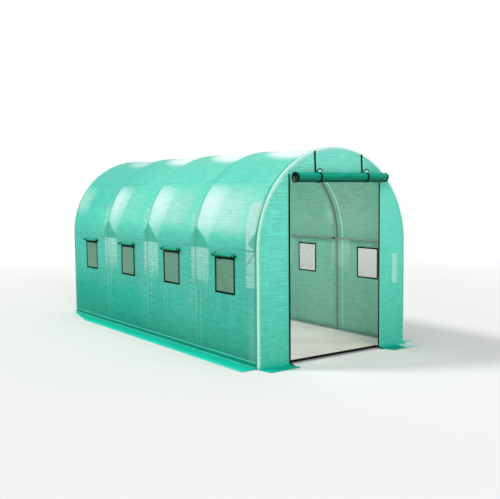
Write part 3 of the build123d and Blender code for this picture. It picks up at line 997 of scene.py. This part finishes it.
def front_sheet():
    """The front sheet: a panel with a flap each side of the doorway, and the gable over it."""
    form = Form()
    for side in (-1, 1):
        form.grid(*front_panel(side), flip=side > 0)
    form.grid(*over_points(head_columns(), door_top, -1, panel_y, 12))
    sheet, area = end_piece(form, "front_sheet", front_skin)
    panels = ["front_left_panel", "front_right_panel", "front_gable_panel"]
    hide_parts(*panels, "front_left_flap", "front_right_flap")


def back_sheet():
    """The whole sheet at the back, with its flap on the ground."""
    reach, height, length = fall_line(spring)
    columns = lines_between([-panel_r, 0, panel_r], 2 * panel_grid)
    flat_x, row = np.meshgrid(columns, np.arange(len(reach)))
    out, z = reach[row], height[row]
    x = flat_x / panel_r * outer_side(panel_r, flap_tip, out)
    free = np.minimum(1, 4 * (1 - (flat_x / panel_r) ** 2)) * np.clip((spring - z) / slack_fade, 0, 1)
    bulge = 2 * panel_slack * free * (ripples(x, z, 2.3, 1.1, 15.5) - 0.2) * (out < tuck)
    z = flap_height(z, x, out, flap_share(out), flap_reach, (7.0, 3.0, 18.1))
    form = Form()
    form.grid(joined(x, back_y + out + bulge, z), joined(x, cloth_top - spring + length[row]))
    form.grid(*over_points(columns, spring, 1, back_y, 22), flip=True)
    sheet, area = end_piece(form, "back_sheet", back_skin)
    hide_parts("back_panel", "back_flap")


def sleeve(name, y):
    """A round sleeve over an end hoop: up one leg, over the arch and down the other."""
    legs = lines_between([sleeve_low.z, spring], sleeve_step)
    turns = np.linspace(0, pi, ceil(pi * hoop_line / sleeve_step) + 1)[1:-1]
    path = [(-hoop_line, y, z) for z in legs]
    path += [(-hoop_line * cos(t), y, spring + hoop_line * sin(t)) for t in turns]
    path += [(hoop_line, y, z) for z in legs[::-1]]
    form = Form()
    form.sweep(path, (0, 1, 0), round_section(sleeve_r - sleeve_inset, sleeve_sides))
    made = form.piece(f"{name}_piping", piping_skin, "pale_piping")
    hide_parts(f"{name}_sleeve")


def door_bindings():
    """Dark binding down the edges of the doorway and out along the flaps."""
    form = Form()
    reach, height, _ = fall_line(door_top)
    keep = reach <= foot_bend + trim_tail
    out, z = reach[keep], height[keep]
    for side, (inner_tip, _) in front_tips.items():
        x = side * (door_half + (inner_tip - door_half) * flap_share(out) - trim_width / 2 + trim_lap)
        path = joined(x, panel_y - out - trim_proud, z + trim_raised)
        path = np.concatenate([path[:1] + [[0, 0, trim_rise]], path])
        form.sweep(path, (1, 0, 0), strap_section(trim_width, trim_thickness))
    made = form.piece("door_bindings", binding_skin, "dark_binding")
    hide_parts("door_trims")


def wall_skirt(side):
    """A ground flap along a wall, with the band that runs up the wall's foot."""
    turns = [pi / 2 * k / 5 for k in range(6)]
    bend = [(skirt_out + skirt_bend * (1 - cos(t)), skirt_floor + skirt_bend * (1 - sin(t))) for t in turns]
    start = bend[-1][0]
    width = skirt_reach - start
    profile = np.array(skirt_band + bend + [(start + width * k / 8, skirt_floor) for k in range(1, 9)])
    lengths = lengths_along(profile)
    y, row = np.meshgrid(lines_between([-cover_end, 0, cover_end], skirt_grid), np.arange(len(profile)))
    out, z = profile[row, 0], profile[row, 1]
    wall = cover_r + cover_lift(y, wall_v(np.maximum(z, sheet_lap)))
    gone = np.clip((out - start) / width, 0, 1)
    x = wall + out + (skirt_edge - wall - skirt_reach) * gone
    front = -cover_end + (skirt_low.y + cover_end) * gone
    back = cover_end + (skirt_high.y - cover_end) * gone
    place = front + (y + cover_end) / (2 * cover_end) * (back - front)
    z = flap_height(z, place, out, gone, skirt_reach, (3.5, 4.0, 2.2 + side))
    form = Form()
    form.grid(joined(side * x, place, z), joined(place, lengths[row]), flip=side > 0)
    word = words[side]
    made = form.piece(f"{word}_skirt", skirt_skin, "woven_cover", thickness=sheet_thickness)
    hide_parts(f"{word}_ground_flap")


def window_binding(side, place, number):
    """Flat tape round the window, mitred at its corners and raised along its middle."""
    half = np.array([window_half - tape_half, (window_top - window_sill - binding_tape) / 2])
    corners = half * [(-1, -1), (1, -1), (1, 1), (-1, 1)]
    steps = np.arange(tape_steps)[:, None]
    after = np.roll(corners, -1, axis=0)
    line = np.concatenate([a + (b - a) * steps / tape_steps for a, b in zip(corners, after)])
    edge = np.sign(line) * (np.abs(line) > half - touch)
    rings = []
    for across, proud in tape_profile:
        y = place + line[:, 0] + edge[:, 0] * across
        z = window_z + line[:, 1] + edge[:, 1] * across
        rings.append(joined(side * (cover_r + cover_lift(y, wall_v(z)) + proud), y, z))
    points = np.stack(rings, axis=1)
    points = np.concatenate([points, points[:1]])
    rows, columns = points.shape[:2]
    cloth = joined(*np.meshgrid(np.arange(rows) * 0.03, np.arange(columns) * 0.004, indexing="ij"))
    form = Form()
    form.grid(points, cloth, wrap=True, flip=side < 0)
    word = words[side]
    made = form.piece(f"{word}_window_binding_{number}", binding_skin, "dark_binding", weld=touch)
    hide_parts(f"{word}_window_bindings")


def window_net(side, place, number):
    """Crossed threads behind the hole."""
    form = Form()
    half_w = hole_half - net_gap
    half_h = (window_top - window_sill) / 2 - binding_width + window_lap - net_gap
    x = side * (net_face + net_inset)
    section = round_section(net_thread / 2, 4)
    count = int(2 * half_h / net_pitch)
    for k in range(count + 1):
        z = window_z + (k - count / 2) * net_pitch
        form.sweep([(x, place - half_w, z), (x, place + half_w, z)], (1, 0, 0), section)
    count = int(2 * half_w / net_pitch)
    for k in range(count + 1):
        y = place + (k - count / 2) * net_pitch
        form.sweep([(x, y, window_z - half_h), (x, y, window_z + half_h)], (1, 0, 0), section)
    word = words[side]
    made = form.piece(f"{word}_window_net_{number}", net_skin, "window_net", smooth=False)
    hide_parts(f"{word}_window_nets")


def bumps(along, places, spread):
    """Smooth bumps of height 1 at these places."""
    return sum(np.exp(-(((along - place) / spread) ** 2)) for place in places)


def rolled_cloth(length, inner_r, outer_r, turns, sides, rows, squeeze):
    """A sheet rolled up round its length: (across, length, height), its cloth places, and its flat width."""
    turn = np.linspace(0, turns, int(turns * sides) + 1)
    radius = inner_r + (outer_r - inner_r) * turn / turns
    turn_grid, along = np.meshgrid(turn, np.linspace(-length / 2, length / 2, rows), indexing="ij")
    radius = radius[:, None] * squeeze(along, turn_grid)
    angle = 2 * pi * turn_grid
    arc = np.concatenate([[0], np.cumsum(2 * pi * np.diff(turn) * (inner_r + outer_r) / 2)])
    cloth = joined(*np.broadcast_arrays(along, arc[:, None]))
    return radius * np.cos(angle), along, radius * np.sin(angle), cloth, float(arc[-1])


def window_roll(side, place, number):
    """A window's flap, rolled up over it and drawn in by its ties."""

    def squeeze(along, turn):
        tied = bumps(along, (-tie_place, tie_place), tie_spread)
        return 1 - 0.05 * tied + 0.04 * ripples(along, turn, 14.0, 0.7, place)

    across, along, up, cloth, rolled = rolled_cloth(
        blind_length, blind_core, blind_r - blind_inset, blind_turns, 18, 28, squeeze
    )
    form = Form()
    form.grid(joined(side * (blind_x + across), place + along, blind_z + up), cloth, flip=side < 0)
    word = words[side]
    made = form.piece(f"{word}_window_flap_{number}", blind_skin, "rolled_cover", thickness=blind_thickness)
    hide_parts(f"{word}_window_flap_rolls")


def window_ties(side, place, number):
    """Two straps from the wall round the rolled flap."""
    form = Form()
    section = strap_section(tie_width, tie_thickness)
    ring_r = blind_r + tie_slack
    inner_x = blind_x - blind_r + tie_inset
    rise = blind_r + tie_rise
    for y in (place - tie_place, place + tie_place):
        ring = [(side * (blind_x + ring_r * a), y, blind_z + ring_r * b) for a, b in zip(*circle(20))]
        form.sweep(ring, (0, 1, 0), section, closed=True)
        shares = np.linspace(0, 1, 5)
        tail = [(side * (inner_x - tie_tilt * s), y, blind_z + tie_start + s * rise) for s in shares]
        form.sweep(tail, (0, 1, 0), section)
    made = form.piece(f"{words[side]}_window_ties_{number}", binding_skin, "dark_binding")
    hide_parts("window_ties")


def door_roll():
    """The rolled-up door: drawn in by its ties, wider at its left end, its inside hanging a little."""
    ties = [place - roll_x for place in strap_places]

    def squeeze(along, turn):
        flare = roll_flare * bumps(along, [-roll_length / 2], flare_spread)
        tied = bumps(along, ties, roll_tie_spread)
        return 1 - 0.02 * tied + flare + 0.010 * ripples(along, turn, 3.0, 0.5, 4.4)

    across, along, up, cloth, rolled = rolled_cloth(
        roll_length, roll_r - roll_wall, roll_r - roll_inset, roll_turns, 40, 72, squeeze
    )
    low = roll_drop * (1 - cloth[..., 1] / rolled)
    form = Form()
    form.grid(joined(roll_x + along, roll_y + across, roll_z + up - low), cloth, flip=True)
    made = form.piece("rolled_door", roll_skin, "rolled_cover", thickness=roll_thickness)
    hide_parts("door_roll")


def door_ties():
    """Straps from the arch that go round the roll, each with a cord over the toggle on top of it."""
    form = Form()
    section = strap_section(strap_width, strap_thickness)
    back = panel_y - strap_gap
    lean = strap_lean
    for place in strap_places:
        top = spring + sqrt(strap_top_r**2 - (abs(place) + strap_width / 2) ** 2) - strap_drop
        over = spring + sqrt(cover_r**2 - place**2) - strap_start
        strap = [
            (place - lean, sleeve_low.y - strap_proud, over),
            (place - lean, sleeve_low.y - 2 * strap_proud, (over + top) / 2),
            (place - lean, back - strap_bow, top - strap_drop),
        ]
        face = back - strap_thickness / 2
        for s in np.linspace(0.06, 1, 12):
            strap.append((place + lean * (2 * s - 1), face, top + (roll_z - top) * s))
        form.sweep(strap, (1, 0, 0), section)
        ring = [
            (place + loop_lean * b, roll_y + loop_r * a, roll_z + loop_r * b) for a, b in zip(*circle(48))
        ]
        form.sweep(ring, (1, 0, 0), section, closed=True)
        start = np.array((place + lean, back - cord_gap, roll_z + loop_r * 0.8))
        end = np.array((place + 0.7 * toggle_length, toggle_y - toggle_r - cord_gap, toggle_z))
        cord = []
        for s in np.linspace(0, 1, 13):
            point = start + (end - start) * s
            point[2] += cord_rise * (toggle_z + toggle_r - start[2]) * sin(pi * s) ** 0.8
            cord.append(point)
        form.sweep(cord, (0.7, 0.7, 0), round_section(cord_r, 8))
    made = form.piece("door_tie_straps", binding_skin, "dark_binding")
    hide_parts("door_ties")


def door_toggles():
    """Barrel toggles with rounded ends and a waist."""
    form = Form()
    shares = np.linspace(0, 1, toggle_rings)
    rounds = np.sqrt(np.clip(1 - np.abs(2 * shares - 1) ** 6, 0.02, 1))
    waist = 1 - toggle_waist * bumps(shares, [0.5], 0.12)
    for place in strap_places:
        points = []
        for share, k in zip(shares, rounds * waist):
            x = place + toggle_stretch * toggle_length * (share - 0.5)
            r = toggle_r * k
            points.append([(x, toggle_y + r * a, toggle_z + r * b) for a, b in zip(*circle(toggle_sides))])
        first = form.count
        form.grid(np.array(points), np.zeros((toggle_rings, toggle_sides, 2)), wrap=True)
        form.cap(first, toggle_sides, flip=True)
        form.cap(form.count - toggle_sides, toggle_sides)
    made = form.piece("door_tie_toggles", toggle_skin, "toggle_plastic")
    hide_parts("door_toggles")


main_cover()
front_sheet()
back_sheet()
sleeve("front", -hoop_places[-1])
sleeve("back", hoop_places[-1])
door_bindings()
for side in (-1, 1):
    wall_skirt(side)
    for number, place in enumerate(window_places, start=1):
        window_binding(side, place, number)
        window_net(side, place, number)
        window_roll(side, place, number)
        window_ties(side, place, number)
door_roll()
door_ties()
door_toggles()

# Finishes of the frame's own pieces
rails = [f"{place}_rail" for place in ("ridge", "left_side", "right_side")]
rails += [f"{place}_ground_rail" for place in ("left", "right", "front", "back")]
finishes = dict.fromkeys(hoop_names + rails + ["diagonal_braces"], steel_skin)
finishes.update({"ridge_clamps": clamp_skin, "side_clamps": clamp_skin})
finishes.update({"floor": floor_skin, "threshold": rubber_skin})
for name, skin in finishes.items():
    for slot in nodes[name].material_slots:
        slot.material = skin


# Stage: pale floor, white surroundings and soft lamps
stage_reach = 40.0
stage_fade = (4.0, 11.0)
sky_strength = 0.62
lamp_depth = 3.6


def seen_directly(look):
    """1 for what the camera sees, also in something glossy or through something clear."""
    path = look.nodes.new("ShaderNodeLightPath").outputs
    return look.either(path["Is Camera Ray"], path["Is Glossy Ray"], path["Is Transmission Ray"])


def make_floor():
    """A pale floor that fades into the white surroundings."""
    mesh = bpy.data.meshes.new("stage_floor")
    corners = [(x * stage_reach, y * stage_reach, 0) for x, y in ((-1, -1), (1, -1), (1, 1), (-1, 1))]
    mesh.from_pydata(corners, [], [(0, 1, 2, 3)])
    look = Look("stage_floor")
    away = look.node("VectorMath", {0: look.place()}, output=1, operation="LENGTH")
    far = look.math("MULTIPLY", look.ramp(away, *stage_fade), seen_directly(look))
    ground = look.node("BsdfDiffuse", {"Color": rgb(232, 232, 230)})
    white = look.node("Emission", {"Color": white_light, "Strength": 1.0})
    mesh.materials.append(look.done(look.mix_shader(far, ground, white)))
    floor = bpy.data.objects.new("stage_floor", mesh)
    bpy.context.scene.collection.objects.link(floor)


def make_world():
    """White surroundings that light the scene less strongly than they look."""
    world = bpy.data.worlds.new("surroundings")
    world.use_nodes = True
    bpy.context.scene.world = world
    look = Look("surroundings", world.node_tree)
    strength = look.ramp(seen_directly(look), 0.0, 1.0, sky_strength, 1.0)
    sky = look.node("Background", {"Color": white_light, "Strength": strength})
    look.node("OutputWorld", {"Surface": sky})


def lamp(name, kind, place, energy, size):
    """A lamp that points at the middle of the ground. Size is degrees of a sun, or a width."""
    data = bpy.data.lights.new(name, kind)
    data.energy = energy
    if kind == "SUN":
        data.angle = radians(size)
    else:
        data.shape = "RECTANGLE"
        data.size = size
        data.size_y = lamp_depth
    made = bpy.data.objects.new(name, data)
    bpy.context.scene.collection.objects.link(made)
    made.location = place
    made.visible_camera = False
    made.visible_glossy = False
    made.visible_transmission = False
    made.rotation_mode = "QUATERNION"
    made.rotation_quaternion = (-Vector(place)).to_track_quat("-Z", "Y")


make_floor()
make_world()
lamp("key", "SUN", (-5.5, 4.5, 7.0), 1.6, 12)
lamp("front_fill", "SUN", (-2.5, -6.0, 3.6), 1.0, 30)
lamp("inside_fill", "AREA", (0, 0, 1.78), 24.0, 1.0)
